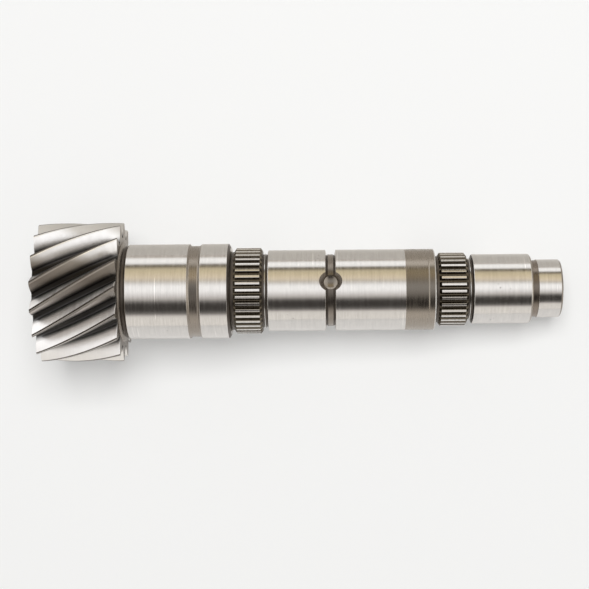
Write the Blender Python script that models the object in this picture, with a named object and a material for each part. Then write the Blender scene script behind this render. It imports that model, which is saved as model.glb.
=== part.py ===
"""Gearbox output shaft, one forging with its helical final-drive pinion, in metres, +Z up.

The shaft stands on the pinion's end face, at z = 0, and +Z runs along its axis towards the nose.
A turned blank carries the journals and grooves. The pinion and the two spline bands are toothed
bodies united with it, and the ball pocket and the lathe centres are cut out of the result.
"""
import math

import bmesh
import bpy
from mathutils import Matrix, Vector

MM = 0.001

# Helical pinion at the foot of the shaft, left-hand helix
PINION_WIDTH = 35.5 * MM
PINION_TEETH = 17
NORMAL_MODULE = 2.75 * MM
HELIX_ANGLE = math.radians(29.0)
PRESSURE_ANGLE = math.radians(17.5)
PINION_ADDENDUM = 3.275 * MM
PINION_DEDENDUM = 2.88 * MM
ADDED_TOOTH_THICKNESS = 1.2 * MM
TIP_CHAMFER = 0.35 * MM
ROOT_FILLET = 0.8 * MM
ROOT_FILLET_SHARE = 0.8
TOOTH_END_CHAMFER = 0.45 * MM
PINION_AZIMUTH = math.radians(-96.0)

# Hub between the pinion and the first journal
HUB_STEP = 1.85 * MM
HUB_HEIGHT = 0.2 * MM
HUB_BEVEL = 0.55 * MM
HUB_BEVEL_DEPTH = 0.95 * MM
GRINDING_RELIEF_WIDTH = 2.0 * MM
GRINDING_RELIEF_LEAD = 0.6 * MM
GRINDING_RELIEF_EXIT = 0.4 * MM
GRINDING_RELIEF_DEPTH = 0.7 * MM

# First journal, its oil groove and the land after it
FIRST_JOURNAL_RADIUS = 20.5 * MM
FIRST_JOURNAL_LENGTH = 26.2 * MM
OIL_GROOVE_WIDTH = 5.45 * MM
OIL_GROOVE_DEPTH = 0.82 * MM
OIL_GROOVE_WALL = 0.85 * MM
LAND_LENGTH = 11.5 * MM
LAND_CHAMFER = 1.0 * MM
LAND_CHAMFER_DEPTH = 1.55 * MM
LAND_SHOULDER = 0.65 * MM
LAND_RELIEF_WIDTH = 0.95 * MM
LAND_RELIEF_STEP = 0.45 * MM

# Spline bands, one module for both
SPLINE_MODULE = 0.93 * MM
SPLINE_ADDENDUM = 0.465 * MM
SPLINE_DEDENDUM = 0.84 * MM
SPLINE_FLANK_ANGLE = math.radians(22.0)
SPLINE_END_BEVEL = 0.9 * MM
LOWER_SPLINE_TEETH = 39
LOWER_SPLINE_LENGTH = 12.05 * MM
LOWER_SPLINE_AZIMUTH = math.radians(-90.65)
UPPER_SPLINE_TEETH = 33
UPPER_SPLINE_LENGTH = 12.2 * MM
UPPER_SPLINE_AZIMUTH = math.radians(-86.6)

# Turned relief after each spline band, with the fine ridge that the tool leaves
RUNOUT_WIDTH = 2.4 * MM
RUNOUT_STEP = 1.5 * MM
RUNOUT_RIDGE = 0.25 * MM
RUNOUT_FLOOR_STEP = 0.12 * MM
RUNOUT_GROOVE_WIDTH = 0.95 * MM

# Long journal with the washer groove, and the soft turned band at its end
LONG_JOURNAL_RADIUS = 17.5 * MM
LONG_JOURNAL_FOOT_LENGTH = 24.6 * MM
WASHER_GROOVE_WIDTH = 4.4 * MM
WASHER_GROOVE_DEPTH = 2.0 * MM
CORNER_RELIEF_WIDTH = 0.65 * MM
CORNER_RELIEF_DEPTH = 0.3 * MM
CORNER_RELIEF_SLOPE = 0.15 * MM
LONG_JOURNAL_TOP_LENGTH = 29.6 * MM
TURNED_BAND_LENGTH = 12.8 * MM
TURNED_BAND_STEP = 0.05 * MM
SCRIBED_LINE_HEIGHT = 9.8 * MM
SCRIBED_LINE_WIDTH = 0.5 * MM
SCRIBED_LINE_DEPTH = 0.15 * MM
TURNED_BAND_BEVEL = 0.5 * MM
BAND_SHOULDER = 0.5 * MM
BAND_RELIEF_WIDTH = 1.0 * MM
BAND_RELIEF_STEP = 0.22 * MM

# Nose: the upper journal, the neck and the pilot end
UPPER_JOURNAL_RADIUS = 15.0 * MM
UPPER_JOURNAL_LENGTH = 25.0 * MM
NECK_LENGTH = 3.7 * MM
NECK_FOOT_RADIUS = 12.0 * MM
NECK_TOP_RADIUS = 12.3 * MM
PILOT_RADIUS = 12.5 * MM
PILOT_LENGTH = 9.2 * MM
PILOT_CHAMFER = 0.9 * MM
PILOT_FOOT_BREAK = 0.15 * MM
JOURNAL_EDGE_BREAK = 0.3 * MM

# Pocket in the washer groove for the ball that keeps the washer from turning
POCKET_AZIMUTH = math.radians(-102.8)
POCKET_MOUTH_RADIUS = 4.9 * MM
POCKET_DRILL_RADIUS = 3.2 * MM
POCKET_COUNTERSINK = 1.9 * MM
POCKET_DRILL_DEPTH = 3.1 * MM
DRILL_POINT_ANGLE = math.radians(118.0)

# Lathe centre in each end face
CENTRE_MOUTH_RADIUS = 4.0 * MM
CENTRE_PILOT_RADIUS = 1.6 * MM
CENTRE_ANGLE = math.radians(60.0)
CENTRE_DEPTH = 8.0 * MM

# Fineness of the round and twisted faces
TURNED_STEPS = 40
HELIX_STEPS = 7
FLANK_STEPS = 2
CUTTER_STEPS = 24
CUTTER_OVERRUN = 1.0 * MM
MERGE_DISTANCE = 0.0001 * MM
SMOOTH_ANGLE = math.radians(25.0)

STEEL_COLOUR = (0.56, 0.54, 0.51, 1.0)
STEEL_ROUGHNESS = 0.22

# Places along the axis, each from the one below it
PINION_TOP = PINION_WIDTH
RIDGE_TOP = PINION_TOP + HUB_HEIGHT + HUB_BEVEL
FIRST_JOURNAL_FOOT = RIDGE_TOP + GRINDING_RELIEF_WIDTH
OIL_GROOVE_FOOT = FIRST_JOURNAL_FOOT + FIRST_JOURNAL_LENGTH
LAND_FOOT = OIL_GROOVE_FOOT + OIL_GROOVE_WIDTH
LAND_TOP = LAND_FOOT + LAND_LENGTH
LAND_RELIEF_FOOT = LAND_TOP + LAND_CHAMFER + LAND_SHOULDER
LOWER_SPLINE_FOOT = LAND_RELIEF_FOOT + LAND_RELIEF_WIDTH
LOWER_SPLINE_TOP = LOWER_SPLINE_FOOT + LOWER_SPLINE_LENGTH
LONG_JOURNAL_FOOT = LOWER_SPLINE_TOP + RUNOUT_WIDTH
WASHER_GROOVE_FOOT = LONG_JOURNAL_FOOT + LONG_JOURNAL_FOOT_LENGTH
WASHER_GROOVE_TOP = WASHER_GROOVE_FOOT + WASHER_GROOVE_WIDTH
TURNED_BAND_FOOT = WASHER_GROOVE_TOP + LONG_JOURNAL_TOP_LENGTH
TURNED_BAND_TOP = TURNED_BAND_FOOT + TURNED_BAND_LENGTH
BAND_RELIEF_FOOT = TURNED_BAND_TOP + BAND_SHOULDER
UPPER_SPLINE_FOOT = BAND_RELIEF_FOOT + BAND_RELIEF_WIDTH
UPPER_SPLINE_TOP = UPPER_SPLINE_FOOT + UPPER_SPLINE_LENGTH
UPPER_JOURNAL_FOOT = UPPER_SPLINE_TOP + RUNOUT_WIDTH
NECK_FOOT = UPPER_JOURNAL_FOOT + UPPER_JOURNAL_LENGTH
PILOT_FOOT = NECK_FOOT + NECK_LENGTH
SHAFT_TOP = PILOT_FOOT + PILOT_LENGTH

# Pinion circles, in the plane across the axis
TRANSVERSE_MODULE = NORMAL_MODULE / math.cos(HELIX_ANGLE)
TRANSVERSE_PRESSURE_ANGLE = math.atan(math.tan(PRESSURE_ANGLE) / math.cos(HELIX_ANGLE))
PINION_PITCH_RADIUS = TRANSVERSE_MODULE * PINION_TEETH / 2
PINION_BASE_RADIUS = PINION_PITCH_RADIUS * math.cos(TRANSVERSE_PRESSURE_ANGLE)
PINION_TIP_RADIUS = PINION_PITCH_RADIUS + PINION_ADDENDUM
PINION_ROOT_RADIUS = PINION_PITCH_RADIUS - PINION_DEDENDUM
HUB_RADIUS = PINION_ROOT_RADIUS - HUB_STEP


def clear_scene():
    for item in list(bpy.data.objects):
        bpy.data.objects.remove(item, do_unlink=True)


def steel():
    """Case-hardened steel, turned and ground bright."""
    material = bpy.data.materials.new("case_hardened_steel")
    material.use_nodes = True
    shader = material.node_tree.nodes["Principled BSDF"]
    shader.inputs["Base Color"].default_value = STEEL_COLOUR
    shader.inputs["Metallic"].default_value = 1.0
    shader.inputs["Roughness"].default_value = STEEL_ROUGHNESS
    return material


def new_object(name, bm):
    """Object with the mesh of bm, its faces pointing out and its round faces shaded smooth."""
    bmesh.ops.recalc_face_normals(bm, faces=bm.faces)
    mesh = bpy.data.meshes.new(name)
    bm.to_mesh(mesh)
    bm.free()
    mesh.shade_smooth()
    mesh.set_sharp_from_angle(angle=SMOOTH_ANGLE)
    item = bpy.data.objects.new(name, mesh)
    bpy.context.scene.collection.objects.link(item)
    return item


def combine(shaft, tool, operation):
    """Unite the shaft with a tool body or cut it out. The tool itself stays a guide."""
    tool.hide_render = True
    tool.display_type = "WIRE"
    tool.parent = shaft
    modifier = shaft.modifiers.new(tool.name, "BOOLEAN")
    modifier.operation = operation
    modifier.solver = "EXACT"
    modifier.object = tool


def turned_body(name, profile, steps):
    """Solid of revolution about Z from a profile of (radius, height) points."""
    bm = bmesh.new()
    verts = [bm.verts.new((radius, 0.0, height)) for radius, height in profile]
    edges = [bm.edges.new(pair) for pair in zip(verts, verts[1:])]
    bmesh.ops.spin(
        bm,
        geom=verts + edges,
        cent=(0.0, 0.0, 0.0),
        axis=(0.0, 0.0, 1.0),
        angle=math.tau,
        steps=steps,
        use_merge=True,
    )
    bmesh.ops.remove_doubles(bm, verts=bm.verts, dist=MERGE_DISTANCE)
    return new_object(name, bm)


def toothed_ring(half_tooth, teeth, azimuth):
    """Closed outline across the axis: one half tooth, mirrored and repeated around the axis.

    half_tooth holds (radius, angle from the tooth's centre), from the tip down to the root.
    """
    points = []
    for tooth in range(teeth):
        centre = azimuth + math.tau * tooth / teeth
        rising = [(radius, centre - angle) for radius, angle in reversed(half_tooth)]
        falling = [(radius, centre + angle) for radius, angle in half_tooth]
        for radius, angle in rising + falling:
            points.append((radius * math.cos(angle), radius * math.sin(angle)))
    return points


def extrude_stack(bm, foot, steps):
    """Extrude the foot face along the axis by (rise, turn) steps and return the last end face."""
    cap = foot
    for rise, turn in steps:
        extruded = bmesh.ops.extrude_face_region(bm, geom=[cap])["geom"]
        if cap is not foot:
            bmesh.ops.delete(bm, geom=[cap], context="FACES_ONLY")
        cap = next(item for item in extruded if isinstance(item, bmesh.types.BMFace))
        bmesh.ops.translate(bm, verts=cap.verts, vec=(0.0, 0.0, rise))
        bmesh.ops.rotate(bm, verts=cap.verts, matrix=Matrix.Rotation(turn, 3, "Z"))
    return cap


def involute(angle):
    return math.tan(angle) - angle


def pinion_half_angle(radius):
    """Half a pinion tooth's angle at a radius: an involute above the base circle."""
    thickness = math.pi * TRANSVERSE_MODULE / 2 + ADDED_TOOTH_THICKNESS
    at_pitch = thickness / (2 * PINION_PITCH_RADIUS)
    profile_angle = math.acos(min(1.0, PINION_BASE_RADIUS / radius))
    return at_pitch + involute(TRANSVERSE_PRESSURE_ANGLE) - involute(profile_angle)


def pinion_half_tooth():
    """Tip land, chamfer, involute flank and root fillet of half a pinion tooth."""
    points = [(PINION_TIP_RADIUS, pinion_half_angle(PINION_TIP_RADIUS) - TIP_CHAMFER / PINION_TIP_RADIUS)]
    flank_foot = max(PINION_BASE_RADIUS, PINION_ROOT_RADIUS + ROOT_FILLET)
    flank_top = PINION_TIP_RADIUS - TIP_CHAMFER
    for step in range(FLANK_STEPS + 1):
        radius = flank_top + (flank_foot - flank_top) * step / FLANK_STEPS
        points.append((radius, pinion_half_angle(radius)))
    foot_angle = pinion_half_angle(flank_foot)
    half_gap = (math.pi / PINION_TEETH - foot_angle) * PINION_ROOT_RADIUS
    fillet = min(ROOT_FILLET, ROOT_FILLET_SHARE * half_gap)
    for quarter in (0.5, 1.0):
        rise = fillet * (1 - math.sin(quarter * math.pi / 2))
        run = fillet * (1 - math.cos(quarter * math.pi / 2))
        points.append((PINION_ROOT_RADIUS + rise, foot_angle + run / PINION_ROOT_RADIUS))
    return points


def pinion():
    """Helical pinion: its outline is extruded along the helix, and both ends are chamfered."""
    outline = toothed_ring(pinion_half_tooth(), PINION_TEETH, PINION_AZIMUTH)
    straight = PINION_WIDTH - 2 * TOOTH_END_CHAMFER
    twist = -straight * math.tan(HELIX_ANGLE) / PINION_PITCH_RADIUS
    bm = bmesh.new()
    foot = bm.faces.new([bm.verts.new((x, y, TOOTH_END_CHAMFER)) for x, y in outline])
    cap = extrude_stack(bm, foot, [(straight / HELIX_STEPS, twist / HELIX_STEPS)] * HELIX_STEPS)
    bmesh.ops.recalc_face_normals(bm, faces=bm.faces)
    bmesh.ops.inset_region(
        bm,
        faces=[foot, cap],
        thickness=TOOTH_END_CHAMFER,
        depth=TOOTH_END_CHAMFER,
        use_boundary=True,
        use_even_offset=True,
    )
    return new_object("pinion", bm)


def spline_pitch_radius(teeth):
    return SPLINE_MODULE * teeth / 2


def spline_root_radius(teeth):
    return spline_pitch_radius(teeth) - SPLINE_DEDENDUM


def spline_half_tooth(teeth):
    """Tip land and straight flank of half a spline tooth."""
    pitch_radius = spline_pitch_radius(teeth)
    points = []
    for height in (SPLINE_ADDENDUM, -SPLINE_DEDENDUM):
        half_width = math.pi * SPLINE_MODULE / 4 - height * math.tan(SPLINE_FLANK_ANGLE)
        radius = pitch_radius + height
        points.append((radius, half_width / radius))
    return points


def spline_band(name, teeth, foot_height, length, azimuth):
    """Straight spline band whose teeth are bevelled down to the root at both ends."""
    outline = toothed_ring(spline_half_tooth(teeth), teeth, azimuth)
    bm = bmesh.new()
    foot = bm.faces.new([bm.verts.new((x, y, foot_height)) for x, y in outline])
    full_teeth = length - 2 * SPLINE_END_BEVEL
    top = extrude_stack(bm, foot, [(SPLINE_END_BEVEL, 0.0), (full_teeth, 0.0), (SPLINE_END_BEVEL, 0.0)])
    root = spline_root_radius(teeth)
    for end in (foot, top):
        for vert in end.verts:
            inward = root / vert.co.xy.length
            vert.co.xy = vert.co.xy * min(1.0, inward)
    return new_object(name, bm)


def land_relief_radius():
    return spline_root_radius(LOWER_SPLINE_TEETH) - LAND_RELIEF_STEP


def band_relief_radius():
    return spline_root_radius(UPPER_SPLINE_TEETH) - BAND_RELIEF_STEP


def journal_foot(radius, foot):
    """Lower end of a ground cylinder, its edge broken."""
    return [(radius - JOURNAL_EDGE_BREAK, foot), (radius, foot + JOURNAL_EDGE_BREAK)]


def journal_top(radius, top):
    """Upper end of a ground cylinder, its edge broken."""
    return [(radius, top - JOURNAL_EDGE_BREAK), (radius - JOURNAL_EDGE_BREAK, top)]


def hub_profile():
    """Hub that shows above the pinion's end face, down to the relief before the journal."""
    relief = FIRST_JOURNAL_RADIUS - GRINDING_RELIEF_DEPTH
    return [
        (0.0, PINION_TOP / 2),
        (HUB_RADIUS, PINION_TOP / 2),
        (HUB_RADIUS, PINION_TOP + HUB_HEIGHT),
        (HUB_RADIUS - HUB_BEVEL_DEPTH, RIDGE_TOP),
        (relief, RIDGE_TOP + GRINDING_RELIEF_LEAD),
        (relief, FIRST_JOURNAL_FOOT - GRINDING_RELIEF_EXIT),
    ]


def first_journal_profile():
    """First journal, the oil groove with sloping walls and the land with its chamfered shoulder."""
    radius = FIRST_JOURNAL_RADIUS
    floor = radius - OIL_GROOVE_DEPTH
    return journal_foot(radius, FIRST_JOURNAL_FOOT) + [
        (radius, OIL_GROOVE_FOOT),
        (floor, OIL_GROOVE_FOOT + OIL_GROOVE_WALL),
        (floor, LAND_FOOT - OIL_GROOVE_WALL),
        (radius, LAND_FOOT),
        (radius, LAND_TOP),
        (radius - LAND_CHAMFER_DEPTH, LAND_TOP + LAND_CHAMFER),
        (land_relief_radius(), LAND_RELIEF_FOOT),
    ]


def spline_core_profile(teeth, foot_radius, foot, top):
    """Core inside a spline band, and the relief with its fine ridge above the band."""
    floor = spline_root_radius(teeth) - RUNOUT_STEP
    middle = (foot + top) / 2
    end = top + RUNOUT_WIDTH
    ridge = end - RUNOUT_GROOVE_WIDTH - RUNOUT_RIDGE
    return [
        (foot_radius, middle),
        (floor, middle),
        (floor, ridge - RUNOUT_RIDGE),
        (floor + RUNOUT_RIDGE, ridge),
        (floor - RUNOUT_FLOOR_STEP, ridge + RUNOUT_RIDGE),
        (floor - RUNOUT_FLOOR_STEP, end - RUNOUT_RIDGE),
    ]


def washer_groove_profile():
    """Square groove with a relieved corner at the foot of each wall."""
    floor = LONG_JOURNAL_RADIUS - WASHER_GROOVE_DEPTH
    corner = floor - CORNER_RELIEF_DEPTH
    return [
        (LONG_JOURNAL_RADIUS, WASHER_GROOVE_FOOT),
        (corner, WASHER_GROOVE_FOOT),
        (corner, WASHER_GROOVE_FOOT + CORNER_RELIEF_WIDTH - CORNER_RELIEF_SLOPE),
        (floor, WASHER_GROOVE_FOOT + CORNER_RELIEF_WIDTH),
        (floor, WASHER_GROOVE_TOP - CORNER_RELIEF_WIDTH),
        (corner, WASHER_GROOVE_TOP - CORNER_RELIEF_WIDTH + CORNER_RELIEF_SLOPE),
        (corner, WASHER_GROOVE_TOP),
        (LONG_JOURNAL_RADIUS, WASHER_GROOVE_TOP),
    ]


def long_journal_profile():
    """Long journal with the washer groove, then the turned band with its scribed line."""
    band = LONG_JOURNAL_RADIUS - TURNED_BAND_STEP
    line = TURNED_BAND_FOOT + SCRIBED_LINE_HEIGHT
    return (
        journal_foot(LONG_JOURNAL_RADIUS, LONG_JOURNAL_FOOT)
        + washer_groove_profile()
        + [
            (LONG_JOURNAL_RADIUS, TURNED_BAND_FOOT),
            (band, TURNED_BAND_FOOT + TURNED_BAND_STEP),
            (band, line - SCRIBED_LINE_WIDTH / 2),
            (band - SCRIBED_LINE_DEPTH, line),
            (band, line + SCRIBED_LINE_WIDTH / 2),
            (band, TURNED_BAND_TOP - TURNED_BAND_BEVEL),
            (band - TURNED_BAND_BEVEL, TURNED_BAND_TOP),
            (band_relief_radius(), BAND_RELIEF_FOOT),
        ]
    )


def nose_profile():
    """Upper journal, tapered neck and the chamfered pilot end."""
    return (
        journal_foot(UPPER_JOURNAL_RADIUS, UPPER_JOURNAL_FOOT)
        + journal_top(UPPER_JOURNAL_RADIUS, NECK_FOOT)
        + [
            (NECK_FOOT_RADIUS, NECK_FOOT + JOURNAL_EDGE_BREAK),
            (NECK_TOP_RADIUS, PILOT_FOOT),
            (PILOT_RADIUS, PILOT_FOOT + PILOT_FOOT_BREAK),
            (PILOT_RADIUS, SHAFT_TOP - PILOT_CHAMFER),
            (PILOT_RADIUS - PILOT_CHAMFER, SHAFT_TOP),
            (0.0, SHAFT_TOP),
        ]
    )


def blank_profile():
    """Whole turned outline, from the axis inside the pinion up to the nose's end face."""
    return (
        hub_profile()
        + first_journal_profile()
        + spline_core_profile(LOWER_SPLINE_TEETH, land_relief_radius(), LOWER_SPLINE_FOOT, LOWER_SPLINE_TOP)
        + long_journal_profile()
        + spline_core_profile(UPPER_SPLINE_TEETH, band_relief_radius(), UPPER_SPLINE_FOOT, UPPER_SPLINE_TOP)
        + nose_profile()
    )


def centre_cutter(name, height, direction):
    """Centre drill that enters an end face at a height: 60 degree cone, pilot and drill point."""
    cone_depth = (CENTRE_MOUTH_RADIUS - CENTRE_PILOT_RADIUS) / math.tan(CENTRE_ANGLE / 2)
    point_depth = CENTRE_PILOT_RADIUS / math.tan(DRILL_POINT_ANGLE / 2)
    overrun_radius = CENTRE_MOUTH_RADIUS + CUTTER_OVERRUN * math.tan(CENTRE_ANGLE / 2)
    depths = [
        (0.0, -CUTTER_OVERRUN),
        (overrun_radius, -CUTTER_OVERRUN),
        (CENTRE_PILOT_RADIUS, cone_depth),
        (CENTRE_PILOT_RADIUS, CENTRE_DEPTH),
        (0.0, CENTRE_DEPTH + point_depth),
    ]
    profile = [(radius, height + direction * depth) for radius, depth in depths]
    return turned_body(name, profile, CUTTER_STEPS)


def ball_pocket_cutter():
    """Countersunk, drilled pocket that runs square to the axis through the washer groove."""
    point = POCKET_DRILL_RADIUS / math.tan(DRILL_POINT_ANGLE / 2)
    slope = (POCKET_MOUTH_RADIUS - POCKET_DRILL_RADIUS) / POCKET_COUNTERSINK
    surface = LONG_JOURNAL_RADIUS
    profile = [
        (0.0, surface + CUTTER_OVERRUN),
        (POCKET_MOUTH_RADIUS + CUTTER_OVERRUN * slope, surface + CUTTER_OVERRUN),
        (POCKET_DRILL_RADIUS, surface - POCKET_COUNTERSINK),
        (POCKET_DRILL_RADIUS, surface - POCKET_DRILL_DEPTH),
        (0.0, surface - POCKET_DRILL_DEPTH - point),
    ]
    cutter = turned_body("ball_pocket", profile, CUTTER_STEPS)
    outward = Vector((math.cos(POCKET_AZIMUTH), math.sin(POCKET_AZIMUTH), 0.0))
    cutter.rotation_euler = outward.to_track_quat("Z", "Y").to_euler()
    cutter.location.z = (WASHER_GROOVE_FOOT + WASHER_GROOVE_TOP) / 2
    return cutter


def output_shaft():
    shaft = turned_body("output_shaft", blank_profile(), TURNED_STEPS)
    shaft.data.materials.append(steel())
    lower_spline = spline_band(
        "lower_spline", LOWER_SPLINE_TEETH, LOWER_SPLINE_FOOT, LOWER_SPLINE_LENGTH, LOWER_SPLINE_AZIMUTH
    )
    upper_spline = spline_band(
        "upper_spline", UPPER_SPLINE_TEETH, UPPER_SPLINE_FOOT, UPPER_SPLINE_LENGTH, UPPER_SPLINE_AZIMUTH
    )
    for body in (pinion(), lower_spline, upper_spline):
        combine(shaft, body, "UNION")
    pinion_centre = centre_cutter("pinion_centre", 0.0, 1.0)
    nose_centre = centre_cutter("nose_centre", SHAFT_TOP, -1.0)
    for cutter in (ball_pocket_cutter(), pinion_centre, nose_centre):
        combine(shaft, cutter, "DIFFERENCE")
    return shaft


def main():
    clear_scene()
    output_shaft()


main()
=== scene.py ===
"""Studio picture of a gearbox output shaft with its helical pinion.

The shaft stands on the pinion's end face with its axis along +Z. The camera looks along +Y with
its right side up the shaft, so that the shaft lies across the picture on a pale table.
"""
import math

import bmesh
import bpy
from mathutils import Matrix, Vector

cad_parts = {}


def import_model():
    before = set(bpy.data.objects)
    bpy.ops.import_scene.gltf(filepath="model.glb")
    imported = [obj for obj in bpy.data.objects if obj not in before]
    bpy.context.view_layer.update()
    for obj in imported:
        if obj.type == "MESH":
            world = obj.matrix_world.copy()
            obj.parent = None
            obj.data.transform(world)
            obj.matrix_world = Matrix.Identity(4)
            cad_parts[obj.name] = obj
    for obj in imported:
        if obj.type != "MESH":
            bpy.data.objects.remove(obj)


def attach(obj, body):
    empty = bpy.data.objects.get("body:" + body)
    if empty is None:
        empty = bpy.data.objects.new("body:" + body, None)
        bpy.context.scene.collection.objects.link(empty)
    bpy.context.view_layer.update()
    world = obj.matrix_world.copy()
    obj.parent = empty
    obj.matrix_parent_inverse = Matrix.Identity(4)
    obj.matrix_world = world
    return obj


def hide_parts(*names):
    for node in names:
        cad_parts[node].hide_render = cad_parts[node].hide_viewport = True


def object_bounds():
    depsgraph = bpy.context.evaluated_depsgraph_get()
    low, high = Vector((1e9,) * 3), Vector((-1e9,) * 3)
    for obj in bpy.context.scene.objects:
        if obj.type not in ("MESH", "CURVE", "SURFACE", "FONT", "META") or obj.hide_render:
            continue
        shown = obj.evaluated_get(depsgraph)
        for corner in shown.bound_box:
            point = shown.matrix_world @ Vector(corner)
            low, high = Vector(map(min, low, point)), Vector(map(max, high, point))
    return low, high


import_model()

bl_info = {
    "name": "Gearbox output shaft",
    "version": (1, 0, 0),
    "blender": (4, 5, 0),
    "location": "3D View > Sidebar > Output shaft",
    "description": "Builds a turned and ground output shaft with a helical pinion, and its studio",
    "category": "Object",
}

MM = 0.001
CAD_LOW, CAD_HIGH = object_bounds()

# Fineness of the round and twisted faces
TURNED_STEPS = 224
HELIX_STEPS = 44
FLANK_STEPS = 8
ROUND_STEPS = 4
DRILL_STEPS = 64
SMOOTH_ANGLE = math.radians(28.0)
MERGE_DISTANCE = 0.0002 * MM
CUTTER_OVERRUN = 1.0 * MM


def length(name, millimetres, description):
    return bpy.props.FloatProperty(
        name=name, description=description, default=millimetres * MM, unit="LENGTH", precision=5
    )


def turn(name, degrees, description):
    return bpy.props.FloatProperty(
        name=name, description=description, default=math.radians(degrees), subtype="ANGLE"
    )


def count(name, number, description):
    return bpy.props.IntProperty(name=name, description=description, default=number)


def amount(name, value, description):
    return bpy.props.FloatProperty(name=name, description=description, default=value)


def colour(name, hex_value, description):
    return bpy.props.FloatVectorProperty(
        name=name, description=description, default=linear(hex_value), subtype="COLOR", size=3, min=0, max=1
    )


def linear(hex_value):
    """sRGB hex colour as linear light."""
    channels = []
    for place in (1, 3, 5):
        value = int(hex_value[place:place + 2], 16) / 255
        channels.append(value / 12.92 if value <= 0.04045 else ((value + 0.055) / 1.055) ** 2.4)
    return tuple(channels)


class PinionSizes(bpy.types.PropertyGroup):
    """Helical pinion at the foot of the shaft, left-hand helix."""

    width: length("Width", 35.5, "Face width along the axis")
    teeth: count("Teeth", 16, "Number of teeth")
    module: length("Normal module", 3.0, "Module across the teeth")
    helix: turn("Helix angle", 29.0, "Lean of the teeth at the pitch circle")
    pressure: turn("Pressure angle", 28.5, "Pressure angle across the teeth")
    addendum: length("Addendum", 2.557, "Pitch circle to tip")
    dedendum: length("Dedendum", 3.59, "Pitch circle to root")
    thickening: length("Added thickness", -0.83, "Tooth thickness added at the pitch circle")
    tip_round: length("Tip chamfer", 0.35, "Chamfer between flank and tip land")
    # The edge strip carries a painted dark line along the land, where the steel is seen square on
    edge_strip: length("Edge strip", 0.1, "Worn strip along the trailing side of each tooth's land")
    root_fillet: length("Root fillet", 0.8, "Rounding between flank and root")
    end_chamfer: length("End chamfer", 0.18, "Chamfer round the tooth ends")
    azimuth: turn("Azimuth", -97.5, "Where the first tooth starts at the foot")


class BlankSizes(bpy.types.PropertyGroup):
    """Turned outline between the pinion and the nose."""

    hub_step: length("Hub step", 1.85, "Pinion root to hub")
    hub_height: length("Hub height", 0.2, "Hub above the pinion's end face")
    hub_bevel: length("Hub bevel", 0.55, "Bevel on the hub, along the axis")
    hub_bevel_depth: length("Hub bevel depth", 0.95, "Bevel on the hub, towards the axis")
    grinding_relief: length("Grinding relief", 2.0, "Relief before the first journal")
    relief_lead: length("Relief lead", 0.6, "Slope down into the grinding relief")
    relief_exit: length("Relief exit", 0.4, "Slope up out of the grinding relief")
    relief_depth: length("Relief depth", 0.7, "Depth of the grinding relief")
    first_radius: length("First journal radius", 20.5, "Radius of the first journal and the land")
    first_length: length("First journal length", 26.2, "Length of the first journal")
    oil_groove: length("Oil groove width", 5.45, "Width of the oil groove")
    oil_depth: length("Oil groove depth", 0.82, "Depth of the oil groove")
    oil_wall: length("Oil groove wall", 0.85, "Length of each sloping wall")
    land: length("Land length", 11.5, "Length of the land")
    land_chamfer: length("Land chamfer", 1.0, "Chamfer of the land, along the axis")
    land_chamfer_depth: length("Land chamfer depth", 1.55, "Chamfer of the land, towards the axis")
    land_shoulder: length("Land shoulder", 0.65, "Slope from the chamfer to the relief")
    land_relief: length("Land relief", 0.95, "Relief before the lower spline")
    land_relief_step: length("Land relief step", 0.45, "Depth of that relief below the spline's root")
    runout: length("Tool run-out", 2.4, "Relief above each spline band")
    runout_step: length("Run-out step", 1.5, "Depth of the relief below the spline's root")
    runout_ridge: length("Run-out ridge", 0.3, "Fine ridge in the relief")
    runout_floor: length("Run-out floor step", 0.12, "Step of the floor past the ridge")
    runout_groove: length("Run-out groove", 0.95, "Groove between the ridge and the journal")
    long_radius: length("Long journal radius", 17.5, "Radius of the long journal")
    long_foot: length("Long journal foot", 24.6, "Journal below the washer groove")
    washer_groove: length("Washer groove width", 4.4, "Width of the washer groove")
    washer_depth: length("Washer groove depth", 2.0, "Depth of the washer groove")
    washer_wall: length("Washer groove wall", 0.6, "Length of each sloping wall")
    corner_relief: length("Corner relief", 1.05, "Groove edge to floor, with the relieved corner")
    corner_depth: length("Corner relief depth", 0.3, "Depth of the relieved corners")
    corner_slope: length("Corner slope", 0.15, "Slope of the relieved corners")
    long_top: length("Long journal top", 29.6, "Journal above the washer groove")
    band: length("Turned band", 12.8, "Length of the band left as turned")
    band_step: length("Turned band step", 0.05, "Step down to the turned band")
    scribed_height: length("Scribed line height", 9.8, "Scribed line above the band's foot")
    scribed_width: length("Scribed line width", 0.5, "Width of the scribed line")
    scribed_depth: length("Scribed line depth", 0.15, "Depth of the scribed line")
    band_bevel: length("Band bevel", 0.5, "Bevel at the band's top")
    band_shoulder: length("Band shoulder", 0.5, "Slope from the bevel to the relief")
    band_relief: length("Band relief", 1.0, "Relief before the upper spline")
    band_relief_step: length("Band relief step", 0.22, "Depth of that relief below the spline's root")
    upper_radius: length("Upper journal radius", 15.0, "Radius of the upper journal")
    upper_length: length("Upper journal length", 25.0, "Length of the upper journal")
    neck_break: length("Neck edge break", 0.7, "Chamfer of the upper journal at the neck")
    neck: length("Neck length", 2.6, "Length of the neck")
    neck_foot: length("Neck foot radius", 12.0, "Radius of the neck at its foot")
    neck_top: length("Neck top radius", 12.3, "Radius of the neck at its top")
    pilot_radius: length("Pilot radius", 12.5, "Radius of the pilot end")
    pilot_chamfer: length("Pilot chamfer", 0.7, "Chamfer at the shaft's end")
    pilot_break: length("Pilot foot break", 0.15, "Slope at the foot of the pilot")
    edge_break: length("Journal edge break", 0.2, "Chamfer at the journals' edges")
    edge_round: length("Edge rounding", 0.1, "Rounding that the polishing leaves on each turned edge")


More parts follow.
